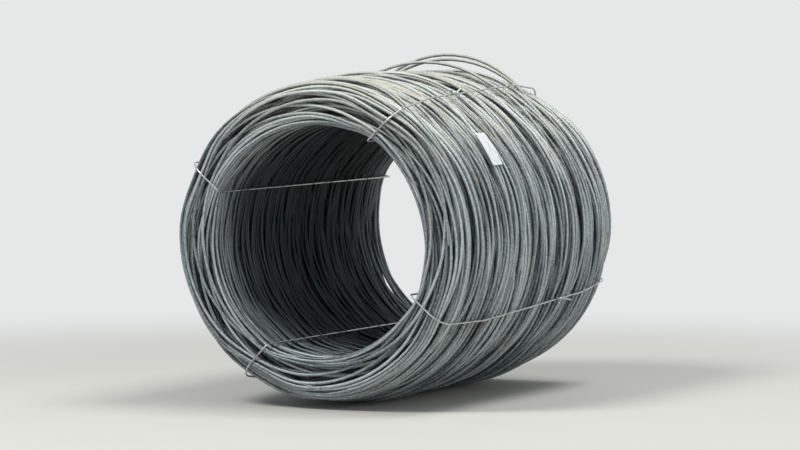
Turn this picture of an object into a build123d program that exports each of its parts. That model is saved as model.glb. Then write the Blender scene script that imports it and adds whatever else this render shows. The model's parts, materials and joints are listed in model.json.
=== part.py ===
import os
from math import asin, cos, degrees, radians, sin, tan

from build123d import *

# A compacted coil of hot-rolled wire rod, lying on its side with its eye along Y.
# The rod is one continuous length, laid in about seven hundred turns. It is modelled
# as one turned solid with its bore: the outside dips in seams between the bunches of
# turns, and the last turns stand out as ridges on both ends.
# Millimetres, +Z up. The origin is on the floor, under the middle of the coil.
# Angles round the coil are in degrees from +X, towards +Z. The front end is at -Y.

rod_diameter = 12.0
coil_radius = 625.0            # to the backs of the bunches
bore_radius = 430.0
coil_length = 1450.0           # over the ridges of the end turns
outer_edge_radius = 80.0
outer_edge_limit = 0.48        # the most of the wall at an end that this edge may take
bore_edge_radius = 40.0
bore_edge_limit = 0.24
end_taper = 26.0               # how far the last bunch at each end falls away
bunch_length = 220.0           # wanted, and fitted to a whole number of bunches
seam_width = 34.0              # of the dip between two bunches
seam_depth = 9.0
turn_spacing = 0.2             # at least, between the end turns
turn_relief = 5.0              # height of an end turn above the groove beside it
seat_gap = 0.3                 # between pieces that lie against each other

# A curved edge of the turned section is this many flats, which keeps the mesh light
outer_edge_flat_count = 2
bore_edge_flat_count = 1
wire_side_count = 6

tie_diameter = 6.5
tie_angles = {"tie_wire_right": -25.0, "tie_wire_top": 60.0,
              "tie_wire_left": 156.0, "tie_wire_bottom": 243.0}
tie_skew = 9.0                 # how far each tie leans round the coil, front to back
tie_bend_slack = 2.0           # how much tighter a tie bends than the edge it goes round
tie_taper_bend = 400.0         # where it follows the taper of an end bunch
tie_bore_bend = 14.0

knot_seams = {"tie_wire_right": 1, "tie_wire_top": -1,
              "tie_wire_left": 1, "tie_wire_bottom": -1}      # counted from the middle
knot_length = 44.0
knot_diameter = 12.6
tail_length = 42.0
tail_angle = 32.0              # away from the tie

loose_turns = {322.0: 36.0, 576.0: 46.0, 604.0: 66.0}
# each one's place along Y, and how far it rises above the coil at its highest
loose_turn_middle = 109.0
loose_turn_reach = 45.0                       # to where it is buried, each way
loose_turn_sink = 25.0                        # of its buried ends, into the coil

tag_length = 140.0             # round the coil
tag_width = 84.0               # along the coil
tag_thickness = 1.2
tag_corner = 6.0
tag_angle = 33.0
tag_bunch = 1                  # it lies on this bunch, counted from 0 at the front
tag_hole_radius = 3.0
tag_hole_inset = 10.0

hook_diameter = 2.5
hook_reach = 17.0              # beyond the edge of the tag
hook_opening = 2.0

half_length = coil_length / 2
groove_plane = half_length - turn_relief       # level of the grooves on an end
end_wall = coil_radius - end_taper - bore_radius
outer_edge = min(outer_edge_radius, outer_edge_limit * end_wall)
bore_edge = min(bore_edge_radius, bore_edge_limit * end_wall)
shoulder = groove_plane - outer_edge           # where the outside starts to round off
bunch_count = round(2 * shoulder / bunch_length)
bunch_step = 2 * shoulder / bunch_count
taper_start = shoulder - bunch_step
tie_radius = tie_diameter / 2
axis_height = coil_radius


def polar(radius, angle, y=0.0):
    """Point at a radius and angle round the coil."""
    return Vector(radius * cos(radians(angle)), y, radius * sin(radians(angle)))


def outside(y):
    """Radius to the backs of the bunches, which falls away at both ends."""
    return coil_radius - end_taper * max(0.0, abs(y) - taper_start) / bunch_step


def quarter(centre, radius, start, flats):
    """Points along a quarter circle from the angle start, its end included."""
    return [(centre[0] + radius * cos(radians(start + 90 * i / flats)),
             centre[1] + radius * sin(radians(start + 90 * i / flats)))
            for i in range(flats + 1)]


def end_turns():
    """Ridges of the turns on the back end, from the outer edge to the bore."""
    outer = outside(shoulder) - outer_edge
    inner = bore_radius + bore_edge
    count = int((outer - inner) / (rod_diameter + turn_spacing))
    pitch = (outer - inner) / count
    points = [(outer - pitch / 2, half_length)]
    for i in range(1, count):
        points += [(outer - i * pitch, groove_plane),
                   (outer - (i + 0.5) * pitch, half_length)]
    return points


def turned_profile():
    """Half section of the coil: X is the radius and Y runs along the axis."""
    flank = []
    for i in range(1, bunch_count):
        seam = -shoulder + i * bunch_step
        for y, depth in ((seam - seam_width / 2, 0), (seam, seam_depth),
                         (seam + seam_width / 2, 0)):
            flank.append((outside(y) - depth, y))
    back = quarter((outside(shoulder) - outer_edge, shoulder), outer_edge,
                   0, outer_edge_flat_count)
    back += end_turns()
    back += quarter((bore_radius + bore_edge, groove_plane - bore_edge), bore_edge,
                    90, bore_edge_flat_count)
    front = [(r, -y) for r, y in reversed(back)]
    return make_face(Polyline(flank + back + front, close=True).edges())


def bent_path(points, bends):
    """Open wire through the points, with each inner corner rounded by its bend."""
    edges = []
    here = points[0]
    for before, corner, after, bend in zip(points, points[1:], points[2:], bends):
        back = (before - corner).normalized()
        ahead = (after - corner).normalized()
        half_angle = radians(back.get_angle(ahead)) / 2
        reach = bend / tan(half_angle)
        middle = (back + ahead).normalized() * (bend / sin(half_angle) - bend)
        edges.append(Line(here, corner + back * reach))
        here = corner + ahead * reach
        edges.append(ThreePointArc(corner + back * reach, corner + middle, here))
    edges.append(Line(here, points[-1]))
    return Wire(edges)


def wire_along(path, radius):
    """Round wire with a few flats, swept along an open path."""
    start = Plane(origin=path @ 0, z_dir=path % 0)
    return sweep(start * RegularPolygon(radius, wire_side_count), path=path,
                 transition=Transition.RIGHT)


def tie_corners(angle):
    """Where a tie bends, from the bore round the outside and back, front to back."""
    end = half_length + seat_gap + tie_radius
    lift = seat_gap + tie_radius
    corners = [polar(bore_radius + lift, angle, -end)]
    for y in (-end, -taper_start, taper_start, end):
        lean = tie_skew / 2 * y / end
        spare = 1 / cos(radians(tie_skew / 2 * taper_start / end))
        corners.append(polar((outside(y) + lift) * spare, angle + lean, y))
    corners.append(polar(bore_radius + lift, angle, end))
    return corners


def tie_wire(angle, seam):
    """A tie round the wall of the coil, its ends twisted together over a seam."""
    bore_front, edge_front, start, stop, edge_back, bore_back = tie_corners(angle)
    along = (stop - start).normalized()
    middle = (start + stop) * 0.5
    outward = Vector(middle.X, 0, middle.Z).normalized()
    knot = middle + along * (seam * bunch_step / along.Y)
    gap = along * (knot_length / 4)
    path = bent_path([knot + gap, stop, edge_back, bore_back,
                      bore_front, edge_front, start, knot - gap],
                     [tie_taper_bend, outer_edge - tie_bend_slack, tie_bore_bend,
                      tie_bore_bend, outer_edge - tie_bend_slack, tie_taper_bend])
    tie = wire_along(path, tie_radius)
    lift = outward * ((knot_diameter - tie_diameter) / 2)
    twist = Plane(origin=knot + lift, x_dir=outward, z_dir=along)
    tie = tie + extrude(twist * RegularPolygon(knot_diameter / 2, wire_side_count),
                        knot_length / 2, both=True)
    for side in (1, -1):
        way = along * (side * cos(radians(tail_angle))) + outward * sin(radians(tail_angle))
        root = knot + lift + along * (side * (knot_length / 2 - tie_diameter))
        tie = tie + extrude(Plane(origin=root, z_dir=way)
                            * RegularPolygon(tie_radius, wire_side_count), tail_length)
    return tie


def tie_slot(angle):
    """Groove in the wall of the bore that a tie lies in."""
    width = tie_diameter + 2 * seat_gap
    depth = seat_gap + tie_diameter + seat_gap
    block = Box(2 * depth, 1.1 * coil_length, width, align=(Align.MAX, Align.CENTER, Align.CENTER))
    return Rot(0, -angle, 0) * Pos(bore_radius + depth, 0, 0) * block


def loose_turn(place, rise):
    """One slack turn, an arc standing proud of the coil between two ties."""
    root = outside(place) - loose_turn_sink
    top = coil_radius + rise - rod_diameter / 2
    half_chord = root * sin(radians(loose_turn_reach))
    drop = top - root * cos(radians(loose_turn_reach))
    bend = (half_chord ** 2 + drop ** 2) / (2 * drop)
    half_turn = degrees(asin(half_chord / bend))
    centre = polar(top - bend, loose_turn_middle, place)
    outward = polar(1, loose_turn_middle - half_turn)
    section = (Plane(origin=centre + outward * bend, x_dir=outward,
                     z_dir=outward.cross(Vector(0, 1, 0)))
               * RegularPolygon(rod_diameter / 2, wire_side_count))
    return revolve(section, Axis(centre, (0, -1, 0)), 2 * half_turn)


tag_y = -shoulder + (tag_bunch + 0.5) * bunch_step
tag_inside = coil_radius + seat_gap
tag_outside = tag_inside + tag_thickness
tag_plane = Plane(origin=(0, tag_y, 0), x_dir=(0, 1, 0), z_dir=polar(1, tag_angle))


def tag():
    """Thin tag curved to the coil, with a hole near one corner."""
    shell = Cylinder(tag_outside, 2 * tag_width) - Cylinder(tag_inside, 3 * tag_width)
    outline = RectangleRounded(tag_width, tag_length, tag_corner)
    hole = Pos(tag_hole_inset - tag_width / 2, tag_length / 2 - tag_hole_inset) * Circle(
        tag_hole_radius)
    block = extrude(tag_plane * (outline - hole), 2 * tag_outside)
    return (Pos(0, tag_y, 0) * Rot(90, 0, 0) * shell) & block


def hook_path():
    """Loop through the hole of the tag and under the turn beside the tag."""
    hole_angle = tag_angle + degrees((tag_length / 2 - tag_hole_inset) / tag_outside)
    high = tag_outside + seat_gap + hook_diameter / 2
    low = high - tag_thickness - rod_diameter - 2 * hook_diameter
    near = tag_y - tag_width / 2 + tag_hole_inset
    far = tag_y - tag_width / 2 - hook_reach
    middle = (near + far) / 2
    corners = [polar(high, hole_angle, middle + hook_opening / 2),
               polar(high, hole_angle, near), polar(low, hole_angle, near),
               polar(low, hole_angle, far), polar(high, hole_angle, far),
               polar(high, hole_angle, middle - hook_opening / 2)]
    return Wire([Line(a, b) for a, b in zip(corners, corners[1:])])


coil = revolve(turned_profile(), Axis.Y)
for place, rise in loose_turns.items():
    coil = coil + loose_turn(place, rise)
coil = coil - [tie_slot(angle) for angle in tie_angles.values()]
coil = coil - wire_along(hook_path(), hook_diameter / 2 + seat_gap)

nodes = {"rod_coil": coil, "tag": tag(),
         "tag_hook": wire_along(hook_path(), hook_diameter / 2)}
for name, angle in tie_angles.items():
    nodes[name] = tie_wire(angle, knot_seams[name])

os.makedirs("parts", exist_ok=True)
for name, shape in nodes.items():
    export_step(Pos(0, 0, axis_height) * shape, f"parts/{name}.step")
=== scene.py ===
import json
import math
import time

import bpy
import numpy as np
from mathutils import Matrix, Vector


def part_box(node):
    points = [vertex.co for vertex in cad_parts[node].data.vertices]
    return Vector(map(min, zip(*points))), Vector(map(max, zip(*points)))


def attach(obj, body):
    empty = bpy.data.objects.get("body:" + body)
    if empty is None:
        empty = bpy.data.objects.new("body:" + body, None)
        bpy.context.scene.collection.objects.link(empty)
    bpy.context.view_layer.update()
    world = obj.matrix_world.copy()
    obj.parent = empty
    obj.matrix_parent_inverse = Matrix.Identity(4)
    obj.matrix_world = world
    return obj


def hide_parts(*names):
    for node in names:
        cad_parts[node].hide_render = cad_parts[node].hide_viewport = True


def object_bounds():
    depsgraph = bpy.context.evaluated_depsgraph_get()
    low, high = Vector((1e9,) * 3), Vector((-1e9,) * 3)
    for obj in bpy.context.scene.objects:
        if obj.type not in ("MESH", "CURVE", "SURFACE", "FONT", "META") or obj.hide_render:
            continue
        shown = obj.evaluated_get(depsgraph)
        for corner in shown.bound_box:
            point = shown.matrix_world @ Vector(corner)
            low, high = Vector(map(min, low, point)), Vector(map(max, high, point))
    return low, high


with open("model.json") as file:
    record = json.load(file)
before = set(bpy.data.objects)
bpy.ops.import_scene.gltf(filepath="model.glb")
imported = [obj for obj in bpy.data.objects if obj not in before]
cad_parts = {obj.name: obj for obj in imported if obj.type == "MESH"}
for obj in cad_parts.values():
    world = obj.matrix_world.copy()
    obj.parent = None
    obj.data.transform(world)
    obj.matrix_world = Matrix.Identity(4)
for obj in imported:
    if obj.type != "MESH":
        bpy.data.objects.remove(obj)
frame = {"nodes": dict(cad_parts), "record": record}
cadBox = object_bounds()
started = time.time()

# Lengths are in metres. The coil's axis runs along Y at axisHeight, and angles go round it
# from +X towards +Z. The front end is at -Y.
mm = 0.001
degree = math.pi / 180
boreMount = frame["record"]["mounts"][0]
axisHeight = boreMount["pos_m"][2]
coilRadius = axisHeight
boreRadius = boreMount["dims"]["r_mm"] * mm
halfLength = (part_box("rod_coil")[1].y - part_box("rod_coil")[0].y) / 2


def say(stageName):
    print(stageName, "at", round(time.time() - started, 1), "s")


# the ties, front to back, also needed by the turns that keep out of their way
ties = {
    "angles": {"tie_wire_right": -25, "tie_wire_top": 60, "tie_wire_left": 156, "tie_wire_bottom": 243},
    "knotSides": {"tie_wire_right": 1, "tie_wire_top": -1, "tie_wire_left": 1, "tie_wire_bottom": -1},
    "diameter": 6.5 * mm,
    "skew": 9,                 # degrees that a tie leans round the coil from front to back
    "gap": 0.3 * mm,           # to the coil
    "taperStart": 426.7 * mm,  # where the ties bend with the taper of the coil
    "bends": [400 * mm, 78 * mm, 14 * mm],     # at the taper, the outer edge and the bore
    "knotPlace": 213.3 * mm,
    "knotLength": 44 * mm,
    "knotTurns": 1.5,
    "tailLength": 36 * mm,
    "tailAngle": 32,
    "waver": 1.2 * mm,         # the outer run isn't quite straight
    "sides": 10,
}

rod = {
    "diameter": 12 * mm,
    "turns": 690,
    "stations": 84,            # points round one turn
    "sides": 6,
    "pieces": 4,
    "outerEdge": 54 * mm,      # radius of the rounded outer edge of an end
    "tiedEdge": 80 * mm,       # the same where a tie pulls it in
    "boreEdge": 36 * mm,
    "endTaper": 26 * mm,       # how far the coil narrows towards its ends
    "taperLength": 214 * mm,
    "seams": 12,               # dark dips between the bunches of turns
    "seamDepth": [16 * mm, 38 * mm],
    "seamWidth": [15 * mm, 25 * mm],
    "seamWander": 16 * mm,     # how far a seam strays along the coil as it goes round
    "gather": 0.42,            # how strongly the turns draw together on the bunches
    "tieLift": 7.2 * mm,       # how far a tie in the bore pushes the turns out
    "tieReach": 15,            # and over how many degrees each way
    "swing": 38.0,             # degrees that the laid turn moves round from one to the next
    "roundness": 0.34,         # share of a turn's offset that varies from turn to turn
    "tilt": 20 * mm,           # how far a turn leans over along the axis
    "looseTop": 12.6 * mm,     # room left over the top for the turns that lie across
    "rounds": 260,             # of pushing the turns apart
    "seed": 7,
}

across = {                     # outermost turns that lie slantwise over the top
    "middle": 88,
    "reach": 66,
    "slant": 74 * mm,          # how far they stray along the coil
    "spacing": [15 * mm, 15 * mm, 46 * mm, 14 * mm, 62 * mm, 15 * mm, 17 * mm, 84 * mm],
    "from": -0.60,
    "to": 0.50,
}

slack = {                      # turns that stand proud of the top, and where
    "places": [0.322, 0.576, 0.604],
    "rises": [0.036, 0.046, 0.066],
    "middle": 109,
    "reach": 45,
    "sink": 25 * mm,
}


def smoothNoise(generator, count, spacing):
    # random values every `spacing` steps, joined by cosine curves into one long wave
    knots = generator.uniform(-1, 1, int(count / spacing) + 3)
    place = np.arange(count) / spacing
    low = np.floor(place).astype(int)
    t = 0.5 - 0.5 * np.cos(np.pi * (place - low))
    return knots[low] * (1 - t) + knots[low + 1] * t


def bell(angle, middle, reach):
    # 1 at the middle angle, falling along a cosine to 0 at the reach on either side
    away = np.abs((angle - middle + np.pi) % (2 * np.pi) - np.pi) / reach
    return 0.5 + 0.5 * np.cos(np.pi * np.minimum(away, 1))


def nearTies(angle, reach):
    return sum(bell(angle, a * degree, reach * degree) for a in ties["angles"].values())


def taperAt(y):
    # nothing in the middle, then a straight slope towards each end
    return rod["endTaper"] * np.clip((np.abs(y) - ties["taperStart"]) / rod["taperLength"], 0, 1.3)


def makeSeams():
    # uneven places along the coil, each with its depth, width and two phases of its wander
    generator = np.random.default_rng(rod["seed"] + 1)
    count = rod["seams"]
    pitch = 2 * halfLength / count
    places = (np.arange(1, count) - count / 2) * pitch + generator.uniform(-0.24, 0.24, count - 1) * pitch
    depth = generator.uniform(*rod["seamDepth"], count - 1)
    width = generator.uniform(*rod["seamWidth"], count - 1)
    phases = generator.uniform(0, 2 * np.pi, (2, count - 1))
    return list(zip(places, depth, width, phases[0], phases[1]))


seams = makeSeams()


def seamCentre(seam, angle):
    place, depth, width, phase, second = seam
    return place + rod["seamWander"] * (0.7 * np.sin(angle + phase) + 0.4 * np.sin(2 * angle + second))


def seamDip(y, angle):
    # each seam is a bell-shaped dip round the coil, and its middle wanders along the axis
    dip = np.zeros_like(y)
    for seam in seams:
        dip += seam[1] * np.exp(-((y - seamCentre(seam, angle)) / seam[2]) ** 2)
    return dip


def looseRoom(y, angle):
    # the ordinary turns stay this much lower where others lie across them
    inside = np.clip((y - across["from"] + 0.06) / 0.06, 0, 1) * np.clip((across["to"] + 0.14 - y) / 0.06, 0, 1)
    window = bell(angle, across["middle"] * degree, 1.25 * across["reach"] * degree)
    return rod["looseTop"] * inside * np.clip(2.2 * window, 0, 1)


def outerEnvelope(y, angle, calm):
    # the coil's radius, less its taper, seams and room over the top, and a quarter circle
    # that rounds each end and is larger where a tie pulls it in
    edge = rod["outerEdge"] + (rod["tiedEdge"] - rod["outerEdge"]) * np.minimum(calm, 1)
    into = np.clip((np.abs(y) - (halfLength - edge)) / edge, 0, 1)
    radius = coilRadius - taperAt(y) - seamDip(y, angle) - looseRoom(y, angle)
    return radius - edge * (1 - np.sqrt(1 - into ** 2))


def boreEnvelope(y, lift):
    # the bore's radius, pushed out at the ties and opened by a quarter circle at each end
    edge = rod["boreEdge"]
    into = np.clip((np.abs(y) - (halfLength - edge)) / edge, 0, 1)
    return boreRadius + rod["tieLift"] * lift + edge * (1 - np.sqrt(1 - into ** 2))


def layTurns():
    # Each turn is an eccentric circle: its centre stands off the axis, and the way it stands
    # off goes round the coil from turn to turn, so the turns cross in a rosette. Then the
    # turns are pushed apart along the axis wherever two lie closer than one diameter, and
    # each push is smoothed along the rod, as a stiff rod would.
    generator = np.random.default_rng(rod["seed"])
    turns, stations, diameter = rod["turns"], rod["stations"], rod["diameter"]
    count = turns * stations
    turn = np.arange(count) / stations
    angle = 2 * np.pi * turn
    calm = nearTies(angle, 22)
    lift = np.minimum(1.15 * nearTies(angle, rod["tieReach"]), 1)

    swing = rod["swing"] * degree * turn + 1.4 * smoothNoise(generator, count, 3 * stations)
    offCentre = 1.08 - rod["roundness"] * (0.5 + 0.5 * smoothNoise(generator, count, stations))
    share = 0.5 + 0.5 * np.cos(angle - swing) * offCentre + 0.03 * smoothNoise(generator, count, stations / 5)
    share = np.clip(share, 0, 1)

    # home is where a turn lies along the axis: evenly by volume, drawn towards the bunches
    limit = halfLength - diameter / 2
    table = np.linspace(-limit, limit, 400)
    wall = (coilRadius - taperAt(table)) ** 2 - boreRadius ** 2
    filled = np.concatenate([[0], np.cumsum((wall[1:] + wall[:-1]) / 2)])
    home = np.interp(turn / turns, filled / filled[-1], table)
    lean = rod["tilt"] * (0.35 + 0.65 * smoothNoise(generator, count, 9 * stations))
    home = home + lean * np.cos(angle - 2.2 * smoothNoise(generator, count, 14 * stations))
    for seam in seams:
        away = home - seamCentre(seam, angle)
        home = home + rod["gather"] * share * seam[1] / (25 * mm) * away * np.exp(-(away / (50 * mm)) ** 2)
    y = np.clip(home, -limit, limit)

    def radiusAt(y):
        inner = boreEnvelope(y, lift) + diameter / 2
        outer = outerEnvelope(y, angle, calm) - diameter / 2
        return inner + share * (outer - inner)

    for sweep in range(rod["rounds"]):
        if sweep % 2 == 0:
            radius = radiusAt(y)
        move = np.zeros(count)
        weight = np.zeros(count)
        for apart in range(1, 10):
            shift = apart * stations
            between = radius[shift:] - radius[:-shift]
            need = np.sqrt(np.maximum(diameter ** 2 - between ** 2, 0))
            short = np.maximum(need - (y[shift:] - y[:-shift]), 0)
            short[need == 0] = 0
            move[shift:] += short / 2
            move[:-shift] -= short / 2
            weight[shift:] += short > 0
            weight[:-shift] += short > 0
        y = y + 1.3 * move / np.maximum(weight, 1)
        smooth = y.copy()
        smooth[1:-1] = 0.5 * y[1:-1] + 0.25 * (y[2:] + y[:-2])
        y = y + 0.6 * (smooth - y) + 0.004 * (home - y)
        y = np.clip(y, -limit, limit)
    return angle, radiusAt(y), y, share


def turnsAt(y, share, middle, places, least):
    # for each place, the station at the middle angle of the turn that lies nearest to it
    # among those that run near the outside there
    stations = rod["stations"]
    tops = np.arange(round(middle / 360 * stations), len(y), stations)
    tops = tops[share[tops] > least]
    return [tops[np.argmin(np.abs(y[tops] - place))] for place in places]


def layAcross(angle, radius, y, share):
    # an outermost turn steps up onto the others, strays along the coil and comes back
    places, place, number = [], across["from"], 0
    while place < across["to"]:
        places.append(place)
        place += across["spacing"][number % len(across["spacing"])]
        number += 1
    stations = rod["stations"]
    span = int(across["reach"] * 1.25 / 360 * stations) + 1
    window = bell(angle, across["middle"] * degree, across["reach"] * degree)
    for k in dict.fromkeys(turnsAt(y, share, across["middle"], places, 0.9)):
        picked = np.arange(max(k - span, 0), min(k + span + 1, len(y)))
        room = looseRoom(y[picked], angle[picked])
        radius[picked] += room
        slant = across["slant"] * (0.75 + 0.25 * math.sin(9 * y[k]))
        y[picked] += slant * np.clip(1.25 * window[picked] - 0.25, 0, 1) ** 1.3
        radius[picked] = np.minimum(radius[picked], coilRadius - taperAt(y[picked]) - rod["diameter"] / 2)


def liftSlackTurns(angle, radius, y, share):
    # over the top, three turns leave the coil on an arc that starts and ends below the surface
    stations = rod["stations"]
    reach = slack["reach"] * degree
    span = int(slack["reach"] / 360 * stations) + 1
    for k, place, rise in zip(turnsAt(y, share, slack["middle"], slack["places"], 0.75),
                              slack["places"], slack["rises"]):
        picked = np.arange(k - span, k + span + 1)
        away = (angle[picked] - slack["middle"] * degree + np.pi) % (2 * np.pi) - np.pi
        root = coilRadius - float(taperAt(place)) - slack["sink"]
        top = coilRadius + rise - rod["diameter"] / 2
        drop = top - root * math.cos(reach)
        bend = ((root * math.sin(reach)) ** 2 + drop ** 2) / (2 * drop)
        offset = top - bend
        arc = offset * np.cos(away) + np.sqrt(bend ** 2 - (offset * np.sin(away)) ** 2)
        blend = np.clip(1 - np.abs(away) / reach, 0, 1) ** 0.5
        radius[picked] = np.maximum(radius[picked], arc)
        y[picked] = y[picked] * (1 - blend) + place * blend


def tube(name, points, side, radius, sides, place):
    # A ring of points round each point of the path, square to it, joined to the next ring,
    # with flat ends. Each point keeps the place it has along and round the wire.
    count = len(points)
    along = np.gradient(points, axis=0)
    along /= np.linalg.norm(along, axis=1)[:, None]
    side = side - along * np.sum(side * along, axis=1)[:, None]
    side /= np.linalg.norm(side, axis=1)[:, None]
    other = np.cross(along, side)
    turn = 2 * np.pi * np.arange(sides) / sides
    ring = (points[:, None, :]
            + radius * np.cos(turn)[None, :, None] * side[:, None, :]
            + radius * np.sin(turn)[None, :, None] * other[:, None, :])
    i = np.arange(count - 1)[:, None] * sides
    j = np.arange(sides)[None, :]
    k = (j + 1) % sides
    quads = np.stack([i + j, i + k, i + sides + k, i + sides + j], axis=-1).reshape(-1, 4)
    faces = quads.tolist() + [list(range(sides))[::-1], list(range((count - 1) * sides, count * sides))]
    mesh = bpy.data.meshes.new(name)
    mesh.from_pydata(ring.reshape(-1, 3).tolist(), [], faces)
    smooth = np.ones(len(faces), bool)
    smooth[-2:] = False
    mesh.polygons.foreach_set("use_smooth", smooth)
    wirePlace = np.zeros((count, sides, 3))
    wirePlace[:, :, 0] = place[0][:, None]
    wirePlace[:, :, 1] = (radius * turn)[None, :]
    wirePlace[:, :, 2] = place[1][:, None]
    mesh.attributes.new("wirePlace", "FLOAT_VECTOR", "POINT").data.foreach_set("vector", wirePlace.ravel())
    mesh.update()
    piece = bpy.data.objects.new(name, mesh)
    bpy.context.collection.objects.link(piece)
    return piece


def layRod():
    angle, radius, y, share = layTurns()
    layAcross(angle, radius, y, share)
    liftSlackTurns(angle, radius, y, share)
    points = np.stack([radius * np.cos(angle), y, axisHeight + radius * np.sin(angle)], axis=-1)
    outward = np.stack([np.cos(angle), np.zeros_like(angle), np.sin(angle)], axis=-1)
    metres = np.concatenate([[0], np.cumsum(np.linalg.norm(np.diff(points, axis=0), axis=1))])
    made = []
    cuts = np.linspace(0, len(points) - 1, rod["pieces"] + 1).astype(int)
    for number, (first, last) in enumerate(zip(cuts[:-1], cuts[1:])):
        run = slice(first, last + 1)
        piece = tube(f"rod_turns_{number + 1}", points[run], outward[run], rod["diameter"] / 2, rod["sides"],
                     (metres[run] % 400, angle[run] / (2 * np.pi)))
        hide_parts("rod_coil")
        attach(piece, "root")
        made.append(piece)
    return made


rodPieces = layRod()
say("rod laid")


def polar(radius, angle, y):
    return np.array([radius * math.cos(angle), y, radius * math.sin(angle)])


def roundedPath(corners, bends):
    # straight runs, with an arc of the given radius at each corner between its tangent points
    rows = [corners[0]]
    for before, corner, after, bend in zip(corners, corners[1:], corners[2:], bends):
        back = (before - corner) / np.linalg.norm(before - corner)
        ahead = (after - corner) / np.linalg.norm(after - corner)
        half = math.acos(np.clip(np.dot(back, ahead), -1, 1)) / 2
        middle = (back + ahead) / np.linalg.norm(back + ahead)
        centre = corner + middle * bend / math.sin(half)
        first, last = (corner + way * bend / math.tan(half) - centre for way in (back, ahead))
        steps = 3 if bend > 0.2 else 9
        t = np.linspace(0, 1, steps)[:, None]
        sweep = math.pi - 2 * half
        rows += list(centre + (np.sin((1 - t) * sweep) * first + np.sin(t * sweep) * last) / math.sin(sweep))
    rows.append(corners[-1])
    return np.array(rows)


def fill(points, spacing):
    # more points on the long runs, so that they can waver
    length = np.concatenate([[0], np.cumsum(np.linalg.norm(np.diff(points, axis=0), axis=1))])
    extra = np.arange(spacing, length[-1], spacing)
    t = np.unique(np.concatenate([length, extra]))
    t = t[np.concatenate([[True], np.diff(t) > 2 * mm])]
    return np.stack([np.interp(t, length, points[:, i]) for i in range(3)], axis=-1)


def makeTie(name):
    # one wire: a tail, half of the twist, round the wall of the coil, the other strand, a tail
    angle = ties["angles"][name] * degree
    radius = ties["diameter"] / 2
    end = halfLength + ties["gap"] + radius
    lift = ties["gap"] + radius
    corners = [polar(boreRadius + lift, angle, -end)]
    for y in (-end, -ties["taperStart"], ties["taperStart"], end):
        lean = ties["skew"] * degree / 2 * y / end
        spare = 1 / math.cos(ties["skew"] * degree / 2 * ties["taperStart"] / end)
        reduced = rod["endTaper"] * max(0, abs(y) - ties["taperStart"]) / rod["taperLength"]
        corners.append(polar((coilRadius - reduced + lift) * spare, angle + lean, y))
    corners.append(polar(boreRadius + lift, angle, end))
    boreFront, edgeFront, start, stop, edgeBack, boreBack = corners

    along = (stop - start) / np.linalg.norm(stop - start)
    middle = (start + stop) / 2
    outward = np.array([middle[0], 0, middle[2]]) / math.hypot(middle[0], middle[2])
    sideways = np.cross(along, outward)
    knot = middle + along * ties["knotSides"][name] * ties["knotPlace"] / along[1]
    t = np.linspace(-0.5, 0.5, 19)[:, None]
    twist = 2 * np.pi * ties["knotTurns"] * (t + 0.5) + np.pi
    centre = knot + outward * radius + along * t * ties["knotLength"]
    offset = radius * (np.cos(twist) * outward + np.sin(twist) * sideways)
    fromFront, fromBack = centre + offset, (centre - offset)[::-1]
    tailWay = math.sin(ties["tailAngle"] * degree) * outward
    length = np.linspace(0.15, 1, 5)[:, None] * ties["tailLength"]
    back = fromFront[-1] + length * (math.cos(ties["tailAngle"] * degree) * along + tailWay)
    front = fromBack[-1] + length * (tailWay - math.cos(ties["tailAngle"] * degree) * along)

    taper, outer, inner = ties["bends"]
    loop = roundedPath([fromBack[0] + along * 4 * mm, stop, edgeBack, boreBack, boreFront, edgeFront, start,
                        fromFront[0] - along * 4 * mm], [taper, outer, inner, inner, outer, taper])
    loop = fill(loop, 45 * mm)
    generator = np.random.default_rng(int(ties["angles"][name]) + 500)
    reach = np.hypot(loop[:, 0], loop[:, 2])
    onOutside = np.clip((reach - 0.56) / 0.05, 0, 1)
    onOutside[:3] = onOutside[-3:] = 0
    waver = ties["waver"] * onOutside * (0.5 + 0.5 * generator.uniform(-1, 1, len(loop)))
    loop[:, [0, 2]] *= (1 + waver / reach)[:, None]
    points = np.concatenate([front[::-1], fromBack[::-1], loop, fromFront, back])
    points[:, 2] += axisHeight

    metres = np.concatenate([[0], np.cumsum(np.linalg.norm(np.diff(points, axis=0), axis=1))])
    side = np.tile(sideways, (len(points), 1))
    piece = tube(name + "_strand", points, side, radius, ties["sides"], (metres, np.zeros(len(points))))
    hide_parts(name)
    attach(piece, "root")
    return piece


tiePieces = [makeTie(name) for name in ties["angles"]]
say("ties twisted")


hook = {                       # the wire loop that holds the tag to the turn beside it
    "diameter": 2.5 * mm,
    "tagAngle": 33,
    "tagMiddle": -320 * mm,
    "tagWidth": 84 * mm,       # along the coil
    "tagLength": 140 * mm,     # round the coil
    "tagThickness": 1.2 * mm,
    "holeInset": 10 * mm,
    "reach": 17 * mm,
    "opening": 2 * mm,
    "bend": 3 * mm,
    "sides": 10,
}


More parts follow.
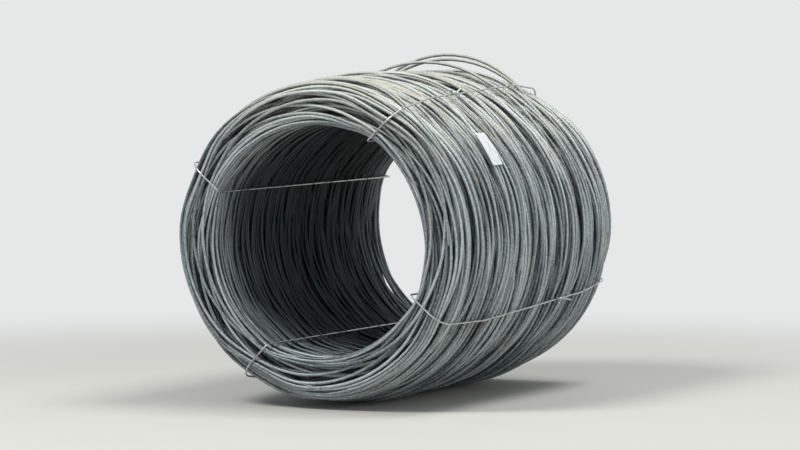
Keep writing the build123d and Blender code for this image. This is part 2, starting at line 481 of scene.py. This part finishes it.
def makeHook():
    # a loop in the plane of the coil's axis, through the tag's hole and under a turn
    outside = coilRadius + ties["gap"] + hook["tagThickness"]
    angle = hook["tagAngle"] * degree + (hook["tagLength"] / 2 - hook["holeInset"]) / outside
    high = outside + ties["gap"] + hook["diameter"] / 2
    low = high - hook["tagThickness"] - rod["diameter"] - 2 * hook["diameter"]
    near = hook["tagMiddle"] - hook["tagWidth"] / 2 + hook["holeInset"]
    far = near - hook["holeInset"] - hook["reach"]
    middle = (near + far) / 2
    corners = [polar(high, angle, middle + hook["opening"] / 2), polar(high, angle, near),
               polar(low, angle, near), polar(low, angle, far), polar(high, angle, far),
               polar(high, angle, middle - hook["opening"] / 2)]
    points = roundedPath(corners, [hook["bend"]] * 4)
    points[:, 2] += axisHeight
    metres = np.concatenate([[0], np.cumsum(np.linalg.norm(np.diff(points, axis=0), axis=1))])
    side = np.tile([-math.sin(angle), 0, math.cos(angle)], (len(points), 1))
    piece = tube("tag_hook_wire", points, side, hook["diameter"] / 2, hook["sides"],
                 (metres, np.zeros(len(points))))
    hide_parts("tag_hook")
    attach(piece, "root")
    return piece


hookPiece = makeHook()
say("tag hooked on")


def linear(hexColour):
    # sRGB hex to linear red, green and blue
    parts = [int(hexColour[i:i + 2], 16) / 255 for i in (1, 3, 5)]
    return tuple(c / 12.92 if c <= 0.04045 else ((c + 0.055) / 1.055) ** 2.4 for c in parts) + (1.0,)


def addNode(tree, kind, settings=None, links=None):
    # adds a node, sets its properties or its sockets by name or number, and links into it
    node = tree.nodes.new(kind)
    for name, value in (settings or {}).items():
        if isinstance(name, int) or name in node.inputs:
            node.inputs[name].default_value = value
        else:
            setattr(node, name, value)
    for name, source in (links or {}).items():
        tree.links.new(source.outputs[0] if hasattr(source, "outputs") else source, node.inputs[name])
    return node


def newMaterial(name, shaderSettings, shaderLinks):
    # shaderLinks is a function that builds the pattern's nodes and says what they drive
    material = bpy.data.materials.new(name)
    material.use_nodes = True
    tree = material.node_tree
    tree.nodes.clear()
    shader = addNode(tree, "ShaderNodeBsdfPrincipled", shaderSettings, shaderLinks(tree))
    addNode(tree, "ShaderNodeOutputMaterial", {}, {"Surface": shader})
    return material


scale = {                      # hot-rolled steel with its mill scale, left outdoors for a while
    "dark": "#4b555a",
    "light": "#c3cccc",
    "rust": "#6d5140",
    # pale dust on the top, which also paints the warm light falling there
    "topDustAndLight": "#cdc6b3",
    "strandRun": 0.9,          # metres over which a strand changes its shade
    "flake": 9 * mm,           # size of a patch of scale
    "rustPatch": 70 * mm,
    "topDustAndLightPatch": 120 * mm,
    "pit": 2.5 * mm,           # drawn coarser than the real pits, to show at this distance
    "topDustAndLightFrom": 0.72,          # height over which the dust and the painted warm top light come in
    "topDustAndLightTo": 1.20,
    "inside": "#30373b",       # painted shade deep in the bore: darker scale that stands in for the shade there
    "boreShadeFrom": [520 * mm, 450 * mm],        # radius over which that begins
    "mouth": [700 * mm, 470 * mm],             # and distance from the middle of the coil
}


def scalePattern(tree):
    # grey-blue scale that differs from strand to strand, flaked, a little rusty, paler on top with dust and painted
    # warm top light, and darker deep in the bore with painted shade
    where = addNode(tree, "ShaderNodeTexCoord").outputs["Object"]
    strand = addNode(tree, "ShaderNodeAttribute", {"attribute_name": "wirePlace"}).outputs["Vector"]
    stretched = addNode(tree, "ShaderNodeVectorMath", {"operation": "MULTIPLY", 1: (1 / scale["strandRun"], 0, 1.7)},
                        {0: strand})
    perStrand = addNode(tree, "ShaderNodeTexNoise", {"Scale": 1.0, "Detail": 1.0}, {"Vector": stretched})
    flakes = addNode(tree, "ShaderNodeTexNoise", {"Scale": 1 / scale["flake"], "Detail": 3.0, "Roughness": 0.6},
                     {"Vector": where})
    shade = addNode(tree, "ShaderNodeMath", {"operation": "MULTIPLY_ADD", 1: 0.35},
                    {0: flakes, 2: addNode(tree, "ShaderNodeMath", {"operation": "MULTIPLY", 1: 0.65}, {0: perStrand})})
    spread = addNode(tree, "ShaderNodeMapRange", {"From Min": 0.36, "From Max": 0.64}, {"Value": shade})
    bare = addNode(tree, "ShaderNodeMix", {"data_type": "RGBA", 6: linear(scale["dark"]), 7: linear(scale["light"])},
                   {0: spread})
    rustNoise = addNode(tree, "ShaderNodeTexNoise", {"Scale": 1 / scale["rustPatch"], "Detail": 5.0, "Roughness": 0.7},
                        {"Vector": where})
    rusty = addNode(tree, "ShaderNodeMapRange", {"From Min": 0.56, "From Max": 0.72, "To Max": 0.55},
                    {"Value": rustNoise})
    rusted = addNode(tree, "ShaderNodeMix", {"data_type": "RGBA", 7: linear(scale["rust"])},
                     {0: rusty, 6: bare.outputs[2]})
    # painted shade: the scale turns darker towards the bore and further in from its mouths, standing in for the shade
    # inside the coil
    fromAxis = addNode(tree, "ShaderNodeVectorMath", {"operation": "MULTIPLY_ADD", 1: (1, 0, 1),
                                                      2: (0, 0, -axisHeight)}, {0: where})
    reach = addNode(tree, "ShaderNodeVectorMath", {"operation": "LENGTH"}, {0: fromAxis}).outputs["Value"]
    outer, inner = scale["boreShadeFrom"]
    boreShade = addNode(tree, "ShaderNodeMapRange", {"From Min": outer, "From Max": inner, "To Max": 0.9}, {"Value": reach})
    alongAxis = addNode(tree, "ShaderNodeMath", {"operation": "ABSOLUTE"},
                        {0: addNode(tree, "ShaderNodeSeparateXYZ", {}, {"Vector": where}).outputs["Y"]})
    outer, inner = scale["mouth"]
    behindMouth = addNode(tree, "ShaderNodeMapRange", {"From Min": outer, "From Max": inner}, {"Value": alongAxis})
    boreShade = addNode(tree, "ShaderNodeMath", {"operation": "MULTIPLY"}, {0: boreShade, 1: behindMouth})
    shadedInBore = addNode(tree, "ShaderNodeMix", {"data_type": "RGBA", 7: linear(scale["inside"])},
                        {0: boreShade, 6: rusted.outputs[2]})
    # pale dust on the upward faces high on the coil, which also paints the warm light that falls on the top
    height = addNode(tree, "ShaderNodeSeparateXYZ", {}, {"Vector": where}).outputs["Z"]
    facing = addNode(tree, "ShaderNodeSeparateXYZ", {},
                     {"Vector": addNode(tree, "ShaderNodeNewGeometry").outputs["Normal"]}).outputs["Z"]
    high = addNode(tree, "ShaderNodeMapRange", {"From Min": scale["topDustAndLightFrom"], "From Max": scale["topDustAndLightTo"]},
                   {"Value": height})
    upward = addNode(tree, "ShaderNodeMapRange", {"From Min": -0.2, "From Max": 0.9}, {"Value": facing})
    topDustAndLightNoise = addNode(tree, "ShaderNodeTexNoise", {"Scale": 1 / scale["topDustAndLightPatch"], "Detail": 4.0, "Roughness": 0.65},
                    {"Vector": where})
    patchy = addNode(tree, "ShaderNodeMapRange", {"From Min": 0.3, "From Max": 0.7, "To Min": 0.35, "To Max": 1.0},
                     {"Value": topDustAndLightNoise})
    topDustAndLightMask = addNode(tree, "ShaderNodeMath", {"operation": "MULTIPLY"},
                      {0: addNode(tree, "ShaderNodeMath", {"operation": "MULTIPLY"}, {0: high, 1: upward}), 1: patchy})
    topDustAndLightShare = addNode(tree, "ShaderNodeMath", {"operation": "MULTIPLY", 1: 0.8}, {0: topDustAndLightMask})
    colour = addNode(tree, "ShaderNodeMix", {"data_type": "RGBA", 7: linear(scale["topDustAndLight"])},
                     {0: topDustAndLightShare, 6: shadedInBore.outputs[2]})
    dull = addNode(tree, "ShaderNodeMath", {"operation": "MAXIMUM"}, {0: topDustAndLightShare, 1: rusty})
    polish = addNode(tree, "ShaderNodeMapRange", {"From Min": 0.35, "From Max": 0.7, "To Min": 0.34, "To Max": 0.52},
                     {"Value": flakes})
    roughness = addNode(tree, "ShaderNodeMix", {"data_type": "FLOAT", 3: 0.82}, {0: dull, 2: polish})
    pits = addNode(tree, "ShaderNodeTexNoise", {"Scale": 1 / scale["pit"], "Detail": 2.0}, {"Vector": where})
    bump = addNode(tree, "ShaderNodeBump", {"Strength": 0.35, "Distance": 0.25 * mm}, {"Height": pits})
    return {"Base Color": colour.outputs[2], "Roughness": roughness.outputs[0], "Normal": bump}


millScaleSteel = newMaterial("millScaleSteel", {"Metallic": 0.35}, scalePattern)
for piece in rodPieces:
    piece.data.materials.append(millScaleSteel)


tieFinish = {                  # annealed binding wire, brighter than the rod, brown in places
    "bright": "#bdc1bf",
    "brown": "#6a5648",
    "patch": 35 * mm,
    "draw": 1.5 * mm,          # width of the marks that the drawing die leaves along it
}


def tiePattern(tree):
    # light grey with brown patches along the wire, and fine marks that run along it
    place = addNode(tree, "ShaderNodeAttribute", {"attribute_name": "wirePlace"}).outputs["Vector"]
    patches = addNode(tree, "ShaderNodeTexNoise", {"Scale": 1 / tieFinish["patch"], "Detail": 4.0}, {"Vector": place})
    brown = addNode(tree, "ShaderNodeMapRange", {"From Min": 0.5, "From Max": 0.72, "To Max": 0.8}, {"Value": patches})
    colour = addNode(tree, "ShaderNodeMix", {"data_type": "RGBA", 6: linear(tieFinish["bright"]),
                                             7: linear(tieFinish["brown"])}, {0: brown})
    roughness = addNode(tree, "ShaderNodeMapRange", {"To Min": 0.32, "To Max": 0.7}, {"Value": brown})
    marks = addNode(tree, "ShaderNodeVectorMath", {"operation": "MULTIPLY", 1: (0.02, 1, 0)}, {0: place})
    lines = addNode(tree, "ShaderNodeTexNoise", {"Scale": 1 / tieFinish["draw"]}, {"Vector": marks})
    bump = addNode(tree, "ShaderNodeBump", {"Strength": 0.2, "Distance": 0.1 * mm}, {"Height": lines})
    return {"Base Color": colour.outputs[2], "Roughness": roughness, "Normal": bump}


annealedTieWire = newMaterial("annealedTieWire", {"Metallic": 0.7}, tiePattern)
for piece in tiePieces + [hookPiece]:
    piece.data.materials.append(annealedTieWire)


tagFinish = {                  # a blank label of coated card, scuffed and dusty
    "card": "#eceeee",
    "grime": "#9c968a",
    "smudge": 22 * mm,
    "fibre": 1.2 * mm,
}


def tagPattern(tree):
    # white with soft smudges and a fine tooth
    where = addNode(tree, "ShaderNodeTexCoord").outputs["Object"]
    smudges = addNode(tree, "ShaderNodeTexNoise", {"Scale": 1 / tagFinish["smudge"], "Detail": 5.0, "Roughness": 0.6},
                      {"Vector": where})
    dirty = addNode(tree, "ShaderNodeMapRange", {"From Min": 0.52, "From Max": 0.78, "To Max": 0.6}, {"Value": smudges})
    colour = addNode(tree, "ShaderNodeMix", {"data_type": "RGBA", 6: linear(tagFinish["card"]),
                                             7: linear(tagFinish["grime"])}, {0: dirty})
    roughness = addNode(tree, "ShaderNodeMapRange", {"To Min": 0.45, "To Max": 0.8}, {"Value": dirty})
    fibres = addNode(tree, "ShaderNodeTexNoise", {"Scale": 1 / tagFinish["fibre"]}, {"Vector": where})
    bump = addNode(tree, "ShaderNodeBump", {"Strength": 0.15, "Distance": 0.1 * mm}, {"Height": fibres})
    return {"Base Color": colour.outputs[2], "Roughness": roughness, "Normal": bump}


coatedCard = newMaterial("coatedCard", {}, tagPattern)
tagMesh = frame["nodes"]["tag"].data
tagMesh.materials.clear()
tagMesh.materials.append(coatedCard)
say("finishes made")


studio = {
    "pale": "#e6e8e8",         # of the backdrop, and of the floor far from the coil
    "floor": "#cfcdc6",
    "floorSize": 120.0,
    "floorFades": [1.6, 4.5],  # distance from the coil at which the floor turns into backdrop
    "sky": "#dfe8f2",
    "skyLight": 0.34,
    "lamps": {                 # place, size and power
        "keyLamp": [(-3.0, -6.0, 8.5), 3.0, 640],
        "topLamp": [(2.5, 0.5, 7.0), 2.5, 270],
        "sideLamp": [(8.5, -4.0, 3.0), 3.0, 105],
    },
    "azimuth": 27.0,           # of the camera, round the middle of the front end
    "elevation": 3.43,
    "distance": 15.6,
    "lens": 190.0,
}


def seenDirectly(tree):
    # 1 for rays from the camera, mirror rays and rays through glass, which see the backdrop
    path = addNode(tree, "ShaderNodeLightPath").outputs
    either = addNode(tree, "ShaderNodeMath", {"operation": "MAXIMUM"},
                     {0: path["Is Camera Ray"], 1: path["Is Glossy Ray"]})
    return addNode(tree, "ShaderNodeMath", {"operation": "MAXIMUM"}, {0: either, 1: path["Is Transmission Ray"]})


def makeFloor():
    # a flat sheet that shows the coil's shadow nearby and turns into the backdrop further out
    half = studio["floorSize"] / 2
    mesh = bpy.data.meshes.new("studioFloor")
    mesh.from_pydata([(-half, -half, 0), (half, -half, 0), (half, half, 0), (-half, half, 0)], [], [(0, 1, 2, 3)])
    floor = bpy.data.objects.new("studioFloor", mesh)
    bpy.context.collection.objects.link(floor)
    material = bpy.data.materials.new("paintedFloor")
    material.use_nodes = True
    tree = material.node_tree
    tree.nodes.clear()
    where = addNode(tree, "ShaderNodeTexCoord").outputs["Object"]
    distance = addNode(tree, "ShaderNodeVectorMath", {"operation": "LENGTH"}, {0: where}).outputs["Value"]
    near, far = studio["floorFades"]
    away = addNode(tree, "ShaderNodeMapRange", {"interpolation_type": "SMOOTHSTEP", "From Min": near,
                                                "From Max": far}, {"Value": distance})
    seen = addNode(tree, "ShaderNodeMath", {"operation": "MULTIPLY"}, {0: away, 1: seenDirectly(tree)})
    matt = addNode(tree, "ShaderNodeBsdfPrincipled", {"Base Color": linear(studio["floor"]), "Roughness": 0.85})
    glow = addNode(tree, "ShaderNodeEmission", {"Color": linear(studio["pale"]), "Strength": 1.0})
    both = addNode(tree, "ShaderNodeMixShader", {}, {0: seen, 1: matt, 2: glow})
    addNode(tree, "ShaderNodeOutputMaterial", {}, {"Surface": both})
    mesh.materials.append(material)


def lightStudio():
    world = bpy.data.worlds.new("studioLight")
    bpy.context.scene.world = world
    world.use_nodes = True
    tree = world.node_tree
    tree.nodes.clear()
    soft = addNode(tree, "ShaderNodeBackground", {"Color": linear(studio["sky"]), "Strength": studio["skyLight"]})
    backdrop = addNode(tree, "ShaderNodeBackground", {"Color": linear(studio["pale"]), "Strength": 1.0})
    both = addNode(tree, "ShaderNodeMixShader", {}, {0: seenDirectly(tree), 1: soft, 2: backdrop})
    addNode(tree, "ShaderNodeOutputWorld", {}, {"Surface": both})
    middle = Vector((0, 0, axisHeight))
    for name, (place, size, power) in studio["lamps"].items():
        lamp = bpy.data.lights.new(name, "AREA")
        lamp.size = size
        lamp.energy = power
        holder = bpy.data.objects.new(name, lamp)
        bpy.context.collection.objects.link(holder)
        holder.location = place
        holder.rotation_euler = (middle - holder.location).to_track_quat("-Z", "Y").to_euler()


def placeCamera():
    # at the photograph's viewing angle, looking at the middle of the coil
    a, e = studio["azimuth"] * degree, studio["elevation"] * degree
    towards = Vector((math.sin(a) * math.cos(e), -math.cos(a) * math.cos(e), math.sin(e)))
    camera = bpy.data.cameras.new("camera")
    camera.lens = studio["lens"]
    camera.clip_end = 300
    holder = bpy.data.objects.new("camera", camera)
    bpy.context.collection.objects.link(holder)
    holder.location = Vector((0, -halfLength, axisHeight)) + towards * studio["distance"]
    target = Vector((0, 0, (cadBox[0].z + cadBox[1].z) / 2))
    holder.rotation_euler = (target - holder.location).to_track_quat("-Z", "Y").to_euler()
    bpy.context.scene.camera = holder


makeFloor()
lightStudio()
placeCamera()
bpy.context.scene.view_settings.view_transform = "Standard"
say("studio ready")
